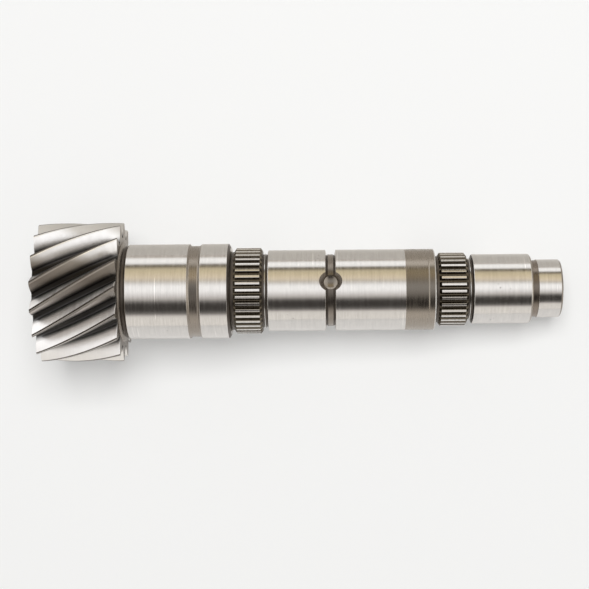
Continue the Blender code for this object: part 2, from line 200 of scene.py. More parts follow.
class SplineSizes(bpy.types.PropertyGroup):
    """Two straight spline bands of one module."""

    module: length("Module", 0.93, "Module of both bands")
    addendum: length("Addendum", 0.465, "Pitch circle to tip")
    dedendum: length("Dedendum", 0.84, "Pitch circle to root")
    flank: turn("Flank angle", 22.0, "Lean of each flank")
    tip_round: length("Tip rounding", 0.12, "Rounding of the tooth tips")
    root_round: length("Root rounding", 0.15, "Rounding at the tooth roots")
    end_bevel: length("End bevel", 0.9, "Bevel at both ends of the teeth")
    lower_teeth: count("Lower teeth", 39, "Teeth of the lower band")
    lower_length: length("Lower length", 12.05, "Length of the lower band")
    lower_azimuth: turn("Lower azimuth", -90.65, "Azimuth of a tooth of the lower band")
    upper_teeth: count("Upper teeth", 33, "Teeth of the upper band")
    upper_length: length("Upper length", 12.2, "Length of the upper band")
    upper_azimuth: turn("Upper azimuth", -86.6, "Azimuth of a tooth of the upper band")


class HoleSizes(bpy.types.PropertyGroup):
    """Ball pocket and lathe centres."""

    pocket_azimuth: turn("Pocket azimuth", -102.8, "Direction in which the ball pocket opens")
    pocket_mouth: length("Pocket mouth", 4.9, "Radius of the countersink at the journal's surface")
    pocket_drill: length("Pocket drill", 3.2, "Radius of the drilled pocket")
    countersink: length("Countersink", 1.9, "Depth of the countersink")
    pocket_depth: length("Pocket depth", 3.1, "Depth of the drilled wall")
    drill_point: turn("Drill point", 118.0, "Point angle of the drills")
    centre_mouth: length("Centre mouth", 4.0, "Radius of a lathe centre at the end face")
    centre_pilot: length("Centre pilot", 1.6, "Radius of the centre's pilot hole")
    centre_angle: turn("Centre angle", 60.0, "Cone angle of the lathe centres")
    centre_depth: length("Centre depth", 8.0, "Depth of the pilot hole")


class SteelColours(bpy.types.PropertyGroup):
    """Colours of the steel's finishes."""

    ground: colour("Ground", "#CCCAC7", "Case-hardened steel, ground and polished")
    tooth: colour("Tooth", "#CBC9C6", "Gear flanks, ground")
    turned: colour("Turned", "#857E76", "Grooves and shoulders, left as turned")
    soft: colour("Soft band", "#A1998F", "Band that was masked from hardening, left as turned")
    neck: colour("Neck", "#746C64", "Neck below the pilot, left as turned")
    # Recess: painted shade, the dark tone given to corners, reliefs and some chamfers
    recess: colour("Recess", "#5A544E", "Corners in which dark oil stays")
    # Spline: the darker tone of the splines' flanks and gaps; the tips take the ground tone
    spline: colour("Spline", "#5C554A", "Hobbed gaps of the splines, oily")


class StudioSettings(bpy.types.PropertyGroup):
    """Table, light and camera."""

    table: colour("Table", "#F4F4F3", "Matt paper that the shaft lies on")
    beyond: colour("Beyond", "#F6F5F3", "What the camera sees past the table")
    # The mirrored tones are painted light and shade: in reflections the table is darker above the shaft and
    # brighter below it
    mirrored_far: colour("Mirrored table, far", "#D8D3CC", "Table above the shaft as the steel mirrors it")
    mirrored_near: colour("Mirrored table, near", "#FEFCFA", "Table below the shaft as the steel mirrors it")
    shadow_fade: amount("Shadow fade", 0.3, "Share of the table's tone that no shadow reaches")
    even_light: amount("Even light", 0.38, "Light from the whole room")
    lamp_power: bpy.props.FloatProperty(
        name="Lamp power", description="Power of the softbox", default=25.5, unit="POWER"
    )
    pixel: length("Pixel", 0.434, "Size of a picture element at the shaft's axis")
    distance: amount("Distance", 1360.0, "Camera to axis, in picture elements")
    tilt: turn("Tilt", 1.24, "Camera looks a little from the nose's side")
    roll: turn("Roll", 0.493, "Turn of the shaft in the picture")


def sizes(name):
    """Property group of this name on the scene."""
    return getattr(bpy.context.scene, "output_shaft_" + name)


def stations():
    """Heights of the shaft's steps along the axis, each from the one below it."""
    b, s = sizes("blank"), sizes("spline")
    steps = [
        ("pinion_top", sizes("pinion").width),
        ("ridge_top", b.hub_height + b.hub_bevel),
        ("first_foot", b.grinding_relief),
        ("oil_foot", b.first_length),
        ("land_foot", b.oil_groove),
        ("land_top", b.land),
        ("land_relief_foot", b.land_chamfer + b.land_shoulder),
        ("lower_foot", b.land_relief),
        ("lower_top", s.lower_length),
        ("long_foot", b.runout),
        ("washer_foot", b.long_foot),
        ("washer_top", b.washer_groove),
        ("band_foot", b.long_top),
        ("band_top", b.band),
        ("band_relief_foot", b.band_shoulder),
        ("upper_foot", b.band_relief),
        ("upper_top", s.upper_length),
        ("journal_foot", b.runout),
        ("neck_foot", b.upper_length),
        ("pilot_foot", b.neck),
    ]
    height, found = 0.0, {}
    for name, rise in steps:
        height += rise
        found[name] = height
    found["top"] = CAD_HIGH.z
    return found


def pitch_radius():
    """Pitch radius of the helical pinion."""
    p = sizes("pinion")
    return p.module / math.cos(p.helix) * p.teeth / 2


def spline_root(teeth):
    """Root radius of a spline band with this many teeth."""
    s = sizes("spline")
    return s.module * teeth / 2 - s.dedendum


def dress(item, *nodes):
    """Let a finished piece ride on the shaft and stand for its node."""
    weight_normals(item)
    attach(item, "root")
    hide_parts(*nodes)


def finish_mesh(bm, name, materials):
    """Object from a bmesh, faces pointing out, smooth apart from its edges."""
    bmesh.ops.remove_doubles(bm, verts=bm.verts, dist=MERGE_DISTANCE)
    bmesh.ops.recalc_face_normals(bm, faces=bm.faces)
    mesh = bpy.data.meshes.new(name)
    bm.to_mesh(mesh)
    bm.free()
    for material in materials:
        mesh.materials.append(material)
    soften(mesh)
    item = bpy.data.objects.new(name, mesh)
    bpy.context.scene.collection.objects.link(item)
    return item


def soften(mesh):
    """Shade smooth, apart from edges sharper than the smooth angle."""
    mesh.shade_smooth()
    mesh.set_sharp_from_angle(angle=SMOOTH_ANGLE)


def weight_normals(item):
    """Keep long faces truly straight in the light, however narrow the roundings beside them."""
    modifier = item.modifiers.new("weighted_normals", "WEIGHTED_NORMAL")
    modifier.mode = "FACE_AREA"
    modifier.weight = 100
    modifier.keep_sharp = True


def cut(item, cutter):
    """Cut a body out of a piece for good. The cutter's faces bring their own material index."""
    modifier = item.modifiers.new("cut", "BOOLEAN")
    modifier.operation = "DIFFERENCE"
    modifier.solver = "EXACT"
    modifier.material_mode = "INDEX"
    modifier.object = cutter
    bpy.context.view_layer.update()
    depsgraph = bpy.context.evaluated_depsgraph_get()
    mesh = bpy.data.meshes.new_from_object(item.evaluated_get(depsgraph), depsgraph=depsgraph)
    item.modifiers.clear()
    item.data = mesh
    soften(mesh)
    bpy.data.objects.remove(cutter)


def turned(profile, steps):
    """Spin a profile of (radius, height, rounding) points round the axis, its corners rounded first."""
    bm = bmesh.new()
    verts = [bm.verts.new((radius, 0.0, height)) for radius, height, rounding in profile]
    bm.faces.new(verts)
    for rounding in sorted({point[2] for point in profile if point[2]}):
        corners = [vert for vert, point in zip(verts, profile) if point[2] == rounding]
        bmesh.ops.bevel(
            bm,
            geom=corners,
            offset=rounding,
            offset_type="OFFSET",
            segments=ROUND_STEPS,
            profile=0.5,
            affect="VERTICES",
            material=-1,
            clamp_overlap=False,
        )
    bmesh.ops.delete(bm, geom=list(bm.faces), context="FACES_ONLY")
    axis = [edge for edge in bm.edges if all(abs(vert.co.x) < MERGE_DISTANCE for vert in edge.verts)]
    bmesh.ops.delete(bm, geom=axis, context="EDGES")
    bmesh.ops.spin(
        bm,
        geom=list(bm.verts) + list(bm.edges),
        cent=(0.0, 0.0, 0.0),
        axis=(0.0, 0.0, 1.0),
        angle=math.tau,
        steps=steps,
        use_merge=True,
    )
    return bm


def ring_outline(half_tooth, teeth, azimuth):
    """Closed outline across the axis: half a tooth, mirrored and repeated round the axis."""
    points = []
    for tooth in range(teeth):
        centre = azimuth + math.tau * tooth / teeth
        rising = [(radius, centre - angle) for radius, angle in reversed(half_tooth) if angle]
        falling = [(radius, centre + angle) for radius, angle in half_tooth]
        for radius, angle in rising + falling:
            points.append((radius * math.cos(angle), radius * math.sin(angle)))
    return points


def extrude_stack(bm, foot, steps):
    """Extrude the foot face along the axis by (rise, turn) steps and return the last end face."""
    cap = foot
    for rise, angle in steps:
        extruded = bmesh.ops.extrude_face_region(bm, geom=[cap])["geom"]
        if cap is not foot:
            bmesh.ops.delete(bm, geom=[cap], context="FACES_ONLY")
        cap = next(item for item in extruded if isinstance(item, bmesh.types.BMFace))
        bmesh.ops.translate(bm, verts=cap.verts, vec=(0.0, 0.0, rise))
        bmesh.ops.rotate(bm, verts=cap.verts, matrix=Matrix.Rotation(angle, 3, "Z"))
    return cap


# Steel finishes

def add_node(tree, kind, inputs=None, **settings):
    """Shader node of a kind, its settings set, and its sockets given a value or a link."""
    node = tree.nodes.new("ShaderNode" + kind)
    for key, value in settings.items():
        setattr(node, key, value)
    for key, value in (inputs or {}).items():
        if isinstance(value, bpy.types.NodeSocket):
            tree.links.new(value, node.inputs[key])
        else:
            node.inputs[key].default_value = value
    return node


# Tints of oil and heat on the pinion, with painted light and shade: each strength darkens or
# brightens a face by its side of the wheel. Then the one scratch on the first journal, with its
# painted glint. Each as (azimuth from the camera's side towards +X in degrees, colour, strength).
UPPER_FLANK_TINT_AND_SHADE = [
    (-90, "#FFFDFA", 0.5),
    (-30, "#FFFDFA", 0.6),
    (-12, "#FCFCFF", 1.0),
    (0, "#FAFBFF", 1.15),
    (20, "#FAFBFF", 1.16),
    (60, "#FAFBFF", 1.14),
    (90, "#FFFFFF", 1.05),
]
LOWER_FLANK_TINT_AND_SHADE = [
    (-120, "#FFFFFF", 1.0),
    (-88, "#F4F3F2", 0.74),
    (-68, "#F4F3F2", 0.8),
    (-62, "#F8FAFF", 1.1),
    (-33, "#FAFBFF", 1.06),
    (-26, "#FFF8F0", 0.45),
    (-10, "#FFF3E8", 0.27),
    (4, "#FFF8F2", 0.42),
    (15, "#FFFAF6", 0.9),
    (90, "#FFFFFF", 1.0),
]
UPPER_ROUND_TINT_AND_SHADE = [
    (-90, "#FFF0E4", 0.15),
    (-30, "#FFF0E4", 0.15),
    (10, "#FFE6D4", 0.05),
    (36, "#FFE6D4", 0.06),
    (50, "#FFF0E4", 0.12),
    (90, "#FFF0E4", 0.2),
]
LOWER_ROUND_TINT_AND_SHADE = [
    (-120, "#FFFFFF", 1.0),
    (-88, "#F4F3F2", 0.74),
    (-68, "#F4F3F2", 0.78),
    (-62, "#FBFCFF", 1.15),
    (-33, "#FFFDFA", 1.08),
    (-26, "#FFF8F0", 0.42),
    (-10, "#FFF3E8", 0.4),
    (4, "#FFF8F0", 0.5),
    (15, "#FFFAF6", 0.4),
    (80, "#FFFFFF", 0.3),
    (110, "#FFFFFF", 1.0),
]
LAND_TINT_AND_SHADE = [
    (-90, "#F8F6F4", 0.5),
    (-66, "#F8F6F4", 0.3),
    (-20, "#FCF8F4", 0.28),
    (5, "#FFF8F0", 0.4),
    (25, "#FFFCF8", 0.7),
    (45, "#FFFFFF", 0.9),
    (90, "#FFFFFF", 1.0),
]
SCRATCH_AND_GLINT = [
    (-18, "#000000", 1.0),
    (-14, "#FFFFFF", 1.0),
    (30, "#FFFFFF", 0.8),
    (38, "#000000", 1.0),
]

# How far apart the mottle's spots, the wear pits and the pitted patches lie. Grinding and turning
# leave lines finer than the picture shows, so each finish draws them as coarse as they need to be.
SPOT_SPACING = 2.381 * MM
PIT_SPACING = 1.4286 * MM
PATCH_SPACING = 9.091 * MM
RING_SPACING = 0.9 * MM

# How far the tool lines and a bearing's rings are drawn out round the axis
LINE_STRETCH = 15
RING_STRETCH = 22

# Relief of the tool lines, and how far the roughness goes up and down with them
LINE_RELIEF = 0.35
ROUGHNESS_SPREAD = 0.2

# Values of a noise between which a pattern goes from one end to the other
PATTERN = (0.3, 0.7)
PIT_EDGE = (0.1, 0.24)
PATCH_EDGE = (0.58, 0.68)
RING_EDGE = (0.8, 0.84)

# Outside the patches the pits shrink by CLEAN. Rings add a paler tone to the steel, and the scratch a painted
# glint.
CLEAN = 9.0
RING_LIGHT = 0.2
SCRATCH_LIGHT = 0.6
SCRATCH_HEIGHT = 51.2 * MM
SCRATCH_EDGE = (0.05 * MM, 0.14 * MM)

# Height above a tooth's root over which the flank goes from dark painted shade to bright painted light
SHADED_ROOT = (0.1 * MM, 2.6 * MM)


def steel(name, tone, roughness, line_mm, depth_mm, mottle, shading=None, tint_and_shade=None, wear=0.0):
    """Metal with tool lines round the axis, line_mm apart and depth_mm deep, and a faint mottle."""
    material = bpy.data.materials.new(name)
    material.use_nodes = True
    tree = material.node_tree
    shader = tree.nodes["Principled BSDF"]
    place = add_node(tree, "TexCoord").outputs["Object"]
    lines = ring_noise(tree, place, line_mm * MM, LINE_STRETCH, 3.0)
    spots = add_node(tree, "TexNoise", {"Vector": place, "Scale": 1 / SPOT_SPACING, "Detail": 4.0}).outputs[0]
    factors = []
    for noise, strength in ((lines, mottle), (spots, mottle / 3)):
        limits = span(*PATTERN, 1 - strength, 1 + strength)
        factors.append(add_node(tree, "MapRange", {"Value": noise, **limits}).outputs[0])
    if shading:
        factors.append(shading(tree, place))
    if wear:
        factors.append(wear_marks(tree, place, wear))
    tinted = add_node(tree, "VectorMath", {0: (*tone,), "Scale": product(tree, factors)}, operation="SCALE")
    # Painted light and shade: a tint and a strength by azimuth, fixed to one side of the wheel
    if tint_and_shade:
        tint_and_shade_there = turn_ramp(tree, around(tree, place), tint_and_shade)
        tinted = add_node(tree, "VectorMath", {0: tinted.outputs[0], 1: tint_and_shade_there}, operation="MULTIPLY")
    limits = span(*PATTERN, roughness * (1 - ROUGHNESS_SPREAD), roughness * (1 + ROUGHNESS_SPREAD))
    rough = add_node(tree, "MapRange", {"Value": lines, **limits})
    bump = add_node(tree, "Bump", {"Height": lines, "Strength": LINE_RELIEF, "Distance": depth_mm * MM})
    for socket, source in (("Base Color", tinted), ("Roughness", rough), ("Normal", bump)):
        tree.links.new(source.outputs[0], shader.inputs[socket])
    shader.inputs["Metallic"].default_value = 1.0
    return material


def span(low, high, bottom, top):
    """Limits that turn a value between low and high into one between bottom and top."""
    return {"From Min": low, "From Max": high, "To Min": bottom, "To Max": top}


def product(tree, factors):
    """All the factors of a finish multiplied together."""
    result = factors[0]
    for factor in factors[1:]:
        result = add_node(tree, "Math", {0: result, 1: factor}, operation="MULTIPLY").outputs[0]
    return result


def ring_noise(tree, place, spacing, stretch, detail):
    """Noise in rings round the axis: fine along the axis and stretched across it."""
    along = 1 / spacing
    scale = (along / stretch, along / stretch, along)
    stretched = add_node(tree, "Mapping", {"Vector": place, "Scale": scale}).outputs[0]
    return add_node(tree, "TexNoise", {"Vector": stretched, "Scale": 1.0, "Detail": detail}).outputs[0]


def around(tree, vector):
    """Azimuth of a vector as a share of the full turn: 0.5 on the camera's side, rising towards +X."""
    parts = add_node(tree, "SeparateXYZ", {0: vector})
    toward = add_node(tree, "Math", {0: parts.outputs[1], 1: -1.0}, operation="MULTIPLY")
    azimuth = add_node(tree, "Math", {0: parts.outputs[0], 1: toward.outputs[0]}, operation="ARCTAN2")
    limits = span(-math.pi, math.pi, 0.0, 1.0)
    return add_node(tree, "MapRange", {"Value": azimuth.outputs[0], **limits}).outputs[0]


def turn_ramp(tree, share, stops):
    """Colour ramp over the full turn through stops of (azimuth in degrees, colour, strength)."""
    node = add_node(tree, "ValToRGB", {0: share})
    elements = node.color_ramp.elements
    while len(elements) < len(stops):
        elements.new(0.5)
    for element, (angle, hex_value, strength) in zip(elements, stops):
        element.position = (angle + 180) / 360
        element.color = (*[channel * strength for channel in linear(hex_value)], 1.0)
    return node.outputs[0]


def wear_marks(tree, place, strength):
    """Fine dark pits in patches, faint pale rings left by a bearing, and one scratch, brightened by a painted
    glint on the camera's side.
    """
    pits = add_node(tree, "TexVoronoi", {"Vector": place, "Scale": 1 / PIT_SPACING, "Randomness": 1.0})
    patches = add_node(tree, "TexNoise", {"Vector": place, "Scale": 1 / PATCH_SPACING, "Detail": 2.0})
    limits = span(*PATCH_EDGE, CLEAN, 1.0)
    shrunk = add_node(tree, "MapRange", {"Value": patches.outputs[0], **limits})
    pitted = product(tree, [pits.outputs["Distance"], shrunk.outputs[0]])
    limits = span(*PIT_EDGE, 1 - strength, 1.0)
    result = add_node(tree, "MapRange", {"Value": pitted, **limits}).outputs[0]

    rings = ring_noise(tree, place, RING_SPACING, RING_STRETCH, 0.0)
    limits = span(*RING_EDGE, 0.0, RING_LIGHT)
    rings = add_node(tree, "MapRange", {"Value": rings, **limits}).outputs[0]

    height = add_node(tree, "SeparateXYZ", {0: place}).outputs[2]
    above = add_node(tree, "Math", {0: height, 1: SCRATCH_HEIGHT}, operation="SUBTRACT")
    off = add_node(tree, "Math", {0: above.outputs[0]}, operation="ABSOLUTE")
    limits = span(*SCRATCH_EDGE, SCRATCH_LIGHT, 0.0)
    line = add_node(tree, "MapRange", {"Value": off.outputs[0], **limits}).outputs[0]
    # Painted glint: the scratch is brightened only over the azimuths of its ramp, on the camera's side
    line = product(tree, [line, turn_ramp(tree, around(tree, place), SCRATCH_AND_GLINT)])

    for mark in (rings, line):
        result = add_node(tree, "Math", {0: result, 1: mark}, operation="ADD").outputs[0]
    return result


def by_slant(start, end, front, side):
    """Shading between a factor for faces seen square on and one for faces seen at a slant."""
    limits = span(start, end, front, side)

    def shading(tree, place):
        slant = add_node(tree, "LayerWeight", {"Blend": 0.5}).outputs["Facing"]
        return add_node(tree, "MapRange", {"Value": slant, **limits}).outputs[0]

    return shading


def by_depth(low, high, bottom, top):
    """Shading between a factor at a low radius and one at a high radius."""
    limits = span(low, high, bottom, top)

    def shading(tree, place):
        flat = add_node(tree, "VectorMath", {0: place, 1: (1.0, 1.0, 0.0)}, operation="MULTIPLY")
        radius = add_node(tree, "VectorMath", {0: flat.outputs[0]}, operation="LENGTH")
        return add_node(tree, "MapRange", {"Value": radius.outputs["Value"], **limits}).outputs[0]

    return shading


def ground_steel():
    """Hardened and cylindrically ground: near a mirror, with crisp streaks of light along the shaft."""
    tone = sizes("steel").ground
    return steel("ground_hardened_steel", tone, 0.17, line_mm=0.6, depth_mm=0.0012, mottle=0.06, wear=0.6)


def turned_steel():
    """Left as turned and oiled: dark satin with fine tool rings, painted shade where seen square on and
    painted light at a slant.
    """
    tone, shading = sizes("steel").turned, by_slant(0.0, 0.3, front=0.5, side=1.1)
    return steel("turned_steel_with_painted_shade", tone, 0.3, line_mm=0.35, depth_mm=0.003, mottle=0.08, shading=shading)


def groove_steel():
    """Oil groove: as turned, with painted shade where it is seen square on and painted light at a slant."""
    tone, shading = sizes("steel").turned, by_slant(0.0, 0.05, front=0.3, side=1.25)
    return steel("turned_groove_steel", tone, 0.3, line_mm=0.35, depth_mm=0.003, mottle=0.06, shading=shading)


def soft_steel():
    """Masked from hardening and left as fine turned: brown-grey satin, with painted shade where it is seen
    square on.
    """
    tone, shading = sizes("steel").soft, by_slant(0.0, 0.2, front=0.4, side=0.9)
    return steel("soft_turned_steel", tone, 0.27, line_mm=0.4, depth_mm=0.002, mottle=0.04, shading=shading)


def neck_steel():
    """Neck below the pilot, turned and blackened by the hardening: darker satin, with painted shade square on
    and painted light at a slant.
    """
    tone, shading = sizes("steel").neck, by_slant(0.0, 0.3, front=0.8, side=1.4)
    return steel("dark_turned_steel", tone, 0.27, line_mm=0.4, depth_mm=0.002, mottle=0.04, shading=shading)


def recess_steel():
    """Corners and reliefs with painted shade: dark steel that stands in for the shade that falls in them."""
    return steel("painted_shade_recess_steel", sizes("steel").recess, 0.4, line_mm=0.4, depth_mm=0.002, mottle=0.1)


def spline_steel():
    """Hobbed and hardened: flanks and gaps darker than the bright tips."""
    return steel("hobbed_spline_steel", sizes("steel").spline, 0.3, line_mm=0.6, depth_mm=0.002, mottle=0.08)


def tooth_steel(name, roughness, mottle, shading, tint_and_shade):
    """Steel of the pinion's teeth, too fine for tool lines to stand out: satin, with a warm tint and painted
    light and shade by azimuth over it.
    """
    tone = sizes("steel").tooth
    return steel(name, tone, roughness, line_mm=0.8, depth_mm=0.0, mottle=mottle, shading=shading, tint_and_shade=tint_and_shade)


def flank_steel(name, tint_and_shade):
    """Ground tooth flank or tip rounding: painted light bright near the tip, painted shade dark at the root
    and at a sharp slant.
    """
    root = pitch_radius() - sizes("pinion").dedendum
    darkened, bright = SHADED_ROOT
    depth = by_depth(root + darkened, root + bright, 0.09, 1.2)
    slant = by_slant(0.6, 0.85, front=1.0, side=0.15)

    def shading(tree, place):
        return product(tree, [depth(tree, place), slant(tree, place)])

    return tooth_steel(name, 0.42, 0.03, shading, tint_and_shade)


def land_steel():
    """Tooth tips: satin, with a faint brown tint and painted shade by azimuth, darker towards the camera's
    side.
    """
    return tooth_steel("tinted_shaded_land_steel", 0.58, 0.05, None, LAND_TINT_AND_SHADE)


def edge_steel():
    """Land edge strip: a painted dark line where it is seen square on."""
    shading = by_slant(0.02, 0.14, front=0.12, side=1.0)
    return tooth_steel("shaded_edge_steel", 0.58, 0.05, shading, LAND_TINT_AND_SHADE)


# Shaft between the pinion and the nose

# Its materials, by their places in its list
# DARK gives corners, reliefs and some chamfers a painted shade
GROUND, ROUGH, SOFT, DARK, NECK, GROOVE = range(6)


def lathe_centre():
    """Depths of a lathe centre's cone and of the drill point below its pilot hole."""
    h = sizes("hole")
    cone = (h.centre_mouth - h.centre_pilot) / math.tan(h.centre_angle / 2)
    return cone, h.centre_pilot / math.tan(h.drill_point / 2)


def blank_profile():
    """Turned outline as (radius, height, rounding), from inside the pinion up to the nose."""
    b, s, z = sizes("blank"), sizes("spline"), stations()
    r = b.edge_round
    hub = pitch_radius() - sizes("pinion").dedendum - b.hub_step
    relief = b.first_radius - b.relief_depth
    floor = b.first_radius - b.oil_depth
    inner = sizes("pinion").width / 2
    points = [
        (0.0, inner, 0),
        (hub, inner, 0),
        (hub, z["pinion_top"] + b.hub_height, r),
        (hub - b.hub_bevel_depth, z["ridge_top"], r),
        (relief, z["ridge_top"] + b.relief_lead, r),
        (relief, z["first_foot"] - b.relief_exit, r),
        (b.first_radius - b.edge_break, z["first_foot"], r),
        (b.first_radius, z["first_foot"] + b.edge_break, r),
        (b.first_radius, z["oil_foot"], r),
        (floor, z["oil_foot"] + b.oil_wall, 3 * r),
        (floor, z["land_foot"] - b.oil_wall, 3 * r),
        (b.first_radius, z["land_foot"], r),
        (b.first_radius, z["land_top"], r),
        (b.first_radius - b.land_chamfer_depth, z["land_top"] + b.land_chamfer, r),
        (spline_root(s.lower_teeth) - b.land_relief_step, z["land_relief_foot"], r),
    ]
    points += core_profile(s.lower_teeth, b.land_relief_step, z["lower_foot"], z["lower_top"])
    points += long_journal_profile(b, z, r)
    points += core_profile(s.upper_teeth, b.band_relief_step, z["upper_foot"], z["upper_top"])
    points += nose_profile(b, z, r)
    return points


def core_profile(teeth, foot_step, foot, top):
    """Core inside a spline band and the relief with its fine ridge above the band."""
    b = sizes("blank")
    root = spline_root(teeth)
    floor = root - b.runout_step
    middle, end = (foot + top) / 2, top + b.runout
    ridge = end - b.runout_groove - b.runout_ridge
    fine = b.edge_round / 2
    return [
        (root - foot_step, middle, 0),
        (floor, middle, 0),
        (floor, ridge - b.runout_ridge, fine),
        (floor + b.runout_ridge, ridge - b.runout_ridge / 2, fine),
        (floor + b.runout_ridge, ridge + b.runout_ridge / 2, fine),
        (floor - b.runout_floor, ridge + b.runout_ridge, fine),
        (floor - b.runout_floor, end - b.runout_ridge, fine),
    ]


def long_journal_profile(b, z, r):
    """Long journal with the washer groove, then the turned band with its scribed line."""
    radius = b.long_radius
    floor = radius - b.washer_depth
    corner = floor - b.corner_depth
    band = radius - b.band_step
    line = z["band_foot"] + b.scribed_height
    half_line = b.scribed_width / 2
    return [
        (radius - b.edge_break, z["long_foot"], r),
        (radius, z["long_foot"] + b.edge_break, r),
        (radius, z["washer_foot"], r / 2),
        (corner, z["washer_foot"] + b.washer_wall, r),
        (corner, z["washer_foot"] + b.corner_relief - b.corner_slope, r / 2),
        (floor, z["washer_foot"] + b.corner_relief, r / 2),
        (floor, z["washer_top"] - b.corner_relief, r / 2),
        (corner, z["washer_top"] - b.corner_relief + b.corner_slope, r / 2),
        (corner, z["washer_top"] - b.washer_wall, r),
        (radius, z["washer_top"], r / 2),
        (radius, z["band_foot"], 0),
        (band, z["band_foot"] + b.band_step, 0),
        (band, line - half_line, r / 2),
        (band - b.scribed_depth, line, r / 2),
        (band, line + half_line, r / 2),
        (band, z["band_top"] - b.band_bevel, r),
        (band - b.band_bevel, z["band_top"], r),
        (spline_root(sizes("spline").upper_teeth) - b.band_relief_step, z["band_relief_foot"], r),
    ]


def nose_profile(b, z, r):
    """Upper journal, neck, pilot end and the lathe centre in its end face."""
    h = sizes("hole")
    cone, point = lathe_centre()
    top = z["top"]
    return [
        (b.upper_radius - b.edge_break, z["journal_foot"], r),
        (b.upper_radius, z["journal_foot"] + b.edge_break, r),
        (b.upper_radius, z["neck_foot"] - b.neck_break, 2 * r),
        (b.upper_radius - b.neck_break, z["neck_foot"], 2 * r),
        (b.neck_foot, z["neck_foot"] + b.edge_break, 2 * r),
        (b.neck_top, z["pilot_foot"], r),
        (b.pilot_radius, z["pilot_foot"] + b.pilot_break, r / 2),
        (b.pilot_radius, top - b.pilot_chamfer, r),
        (b.pilot_radius - b.pilot_chamfer, top, r),
        (h.centre_mouth, top, r),
        (h.centre_pilot, top - cone, 0),
        (h.centre_pilot, top - h.centre_depth, 0),
        (0.0, top - h.centre_depth - point, 0),
    ]


def finish_zones():
    """Heights at which the blank's finish changes, with the material's place in the list from there."""
    b, z = sizes("blank"), stations()
    # DARK bands are painted shade in corners, reliefs and some chamfers
    return [
        (0.0, ROUGH),
        (z["ridge_top"] + b.relief_lead / 2, DARK),
        (z["first_foot"], GROUND),
        (z["oil_foot"], GROOVE),
        (z["land_foot"], GROUND),
        (z["land_top"], DARK),
        (z["land_top"] + b.land_chamfer, GROUND),
        (z["land_relief_foot"] - b.edge_round, DARK),
        (z["lower_top"] + b.runout / 4, ROUGH),
        (z["long_foot"] - b.runout_groove - 2 * b.runout_ridge, GROUND),
        (z["long_foot"] - b.runout_groove, DARK),
        (z["long_foot"], GROUND),
        (z["washer_foot"] + b.washer_wall - b.edge_round / 2, DARK),
        (z["washer_foot"] + b.corner_relief, ROUGH),
        (z["washer_top"] - b.corner_relief, DARK),
        (z["washer_top"] - b.washer_wall + b.edge_round / 2, GROUND),
        (z["band_foot"] + b.band_step / 2, SOFT),
        (z["band_top"] - b.band_bevel, GROUND),
        (z["band_top"] + b.edge_round, DARK),
        (z["upper_top"] + b.runout / 4, ROUGH),
        (z["journal_foot"] - b.runout_groove - 2 * b.runout_ridge, GROUND),
        (z["journal_foot"] - b.runout_groove, DARK),
        (z["journal_foot"], GROUND),
        (z["neck_foot"] - b.neck_break, SOFT),
        (z["neck_foot"], NECK),
        (z["pilot_foot"] + b.pilot_break, GROUND),
        (z["top"] - b.pilot_chamfer - b.edge_round / 2, ROUGH),
    ]


def ball_pocket_cutter(materials):
    """Countersunk, drilled pocket square to the axis through the washer groove."""
    h, b, z = sizes("hole"), sizes("blank"), stations()
    surface = b.long_radius
    slope = (h.pocket_mouth - h.pocket_drill) / h.countersink
    point = h.pocket_drill / math.tan(h.drill_point / 2)
    bm = turned(
        [
            (0.0, surface + CUTTER_OVERRUN, 0),
            (h.pocket_mouth + CUTTER_OVERRUN * slope, surface + CUTTER_OVERRUN, 0),
            (h.pocket_drill, surface - h.countersink, 0),
            (h.pocket_drill, surface - h.pocket_depth, 4 * b.edge_round),
            (0.0, surface - h.pocket_depth - point, 0),
        ],
        DRILL_STEPS,
    )
    seat = [face.calc_center_median().z < surface - h.countersink for face in bm.faces]
    outward = Vector((math.cos(h.pocket_azimuth), math.sin(h.pocket_azimuth), 0.0))
    bmesh.ops.rotate(bm, verts=bm.verts, matrix=outward.to_track_quat("Z", "Y").to_matrix())
    bmesh.ops.translate(bm, verts=bm.verts, vec=(0.0, 0.0, (z["washer_foot"] + z["washer_top"]) / 2))
    for face, inside in zip(bm.faces, seat):
        face.material_index = SOFT if inside else ROUGH
    return finish_mesh(bm, "ball_pocket_cutter", materials)


class OUTPUTSHAFT_OT_blank(bpy.types.Operator):
    """Turn the shaft between the pinion and the nose, with its grooves and the ball pocket."""

    bl_idname = "output_shaft.blank"
    bl_label = "Turned shaft"

    def execute(self, context):
        materials = [
            ground_steel(),
            turned_steel(),
            soft_steel(),
            recess_steel(),
            neck_steel(),
            groove_steel(),
        ]
        bm = turned(blank_profile(), TURNED_STEPS)
        zones = finish_zones()
        for face in bm.faces:
            height = face.calc_center_median().z
            face.material_index = [index for start, index in zones if start <= height][-1]
        shaft = finish_mesh(bm, "turned_shaft", materials)
        cut(shaft, ball_pocket_cutter(materials))
        dress(shaft, "output_shaft")
        return {"FINISHED"}


# Pinion

# Its materials, by their places in its list
LOWER_FLANK, TURNED, LAND, EDGE, UPPER_ROUND, LOWER_ROUND, UPPER_FLANK = range(7)

# Least upright part of an end face's normal, and how far below the tip, in tip roundings, the
# faces of a flank and of a rounding have their middles
END_FACE = 0.99
FLANK_BELOW = 0.8
ROUND_BELOW = 0.02


def involute(angle):
    """Involute function of a pressure angle."""
    return math.tan(angle) - angle


